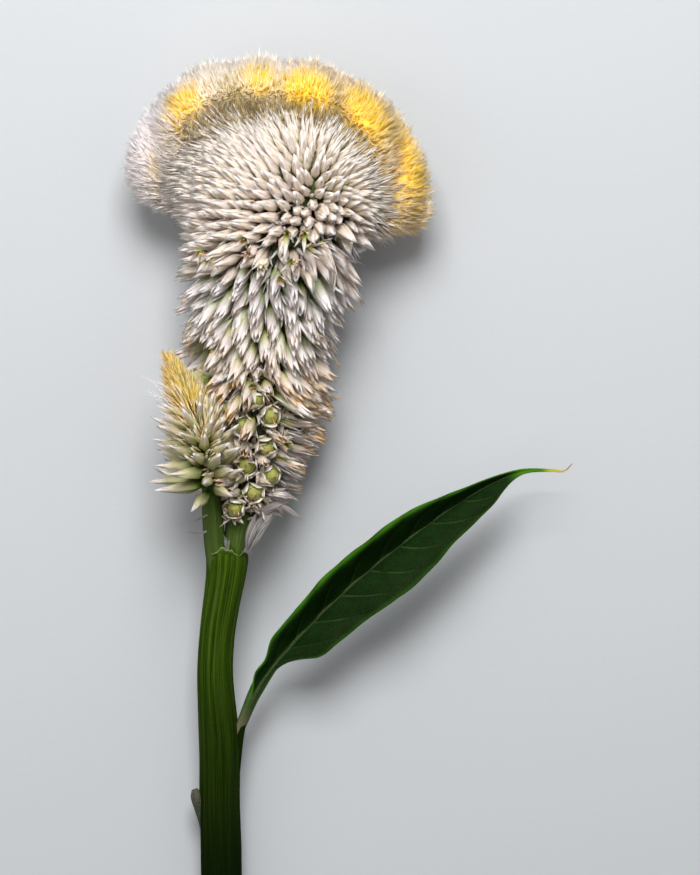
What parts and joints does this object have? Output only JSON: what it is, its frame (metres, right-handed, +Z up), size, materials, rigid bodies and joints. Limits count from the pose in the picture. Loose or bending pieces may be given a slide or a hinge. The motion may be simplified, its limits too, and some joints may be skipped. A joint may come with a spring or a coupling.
{
  "type": "cockscomb celosia flower stem",
  "caption": "Cut stem of crested celosia lying down: white comb with a folded yellow ridge, a side spike and a lance-shaped leaf.",
  "frame": {"origin": "middle of the footprint, on the surface that the flower lies on", "axes": "+Y along the flower from the cut end to the crest, +Z up off the surface, +X to the side that the leaf grows on"},
  "size_m": [0.0758, 0.1464, 0.028],
  "materials": {
    "stem": "ribbed waxy green stalk with light and dark stripes",
    "leaf": "semi-gloss dark green blade with pale veins",
    "white_florets": "dry papery tepals, cream white with a faint pink shade and green bases",
    "yellow_florets": "soft furry young florets, saturated yellow at their roots and cream at their tips",
    "capsule": "smooth olive green seed capsule"
  },
  "bodies": {
    "root": {"stem": "stem", "leaf": "leaf", "comb_florets": "white_florets", "comb_crest": "yellow_florets", "side_spike": "white_florets", "side_spike_tip": "yellow_florets", "seed_capsule_01": "capsule", "seed_capsule_02": "capsule", "seed_capsule_03": "capsule", "seed_capsule_04": "capsule", "seed_capsule_05": "capsule", "seed_capsule_06": "capsule", "seed_capsule_07": "capsule", "seed_capsule_08": "capsule", "seed_capsule_09": "capsule"}
  },
  "joints": []
}
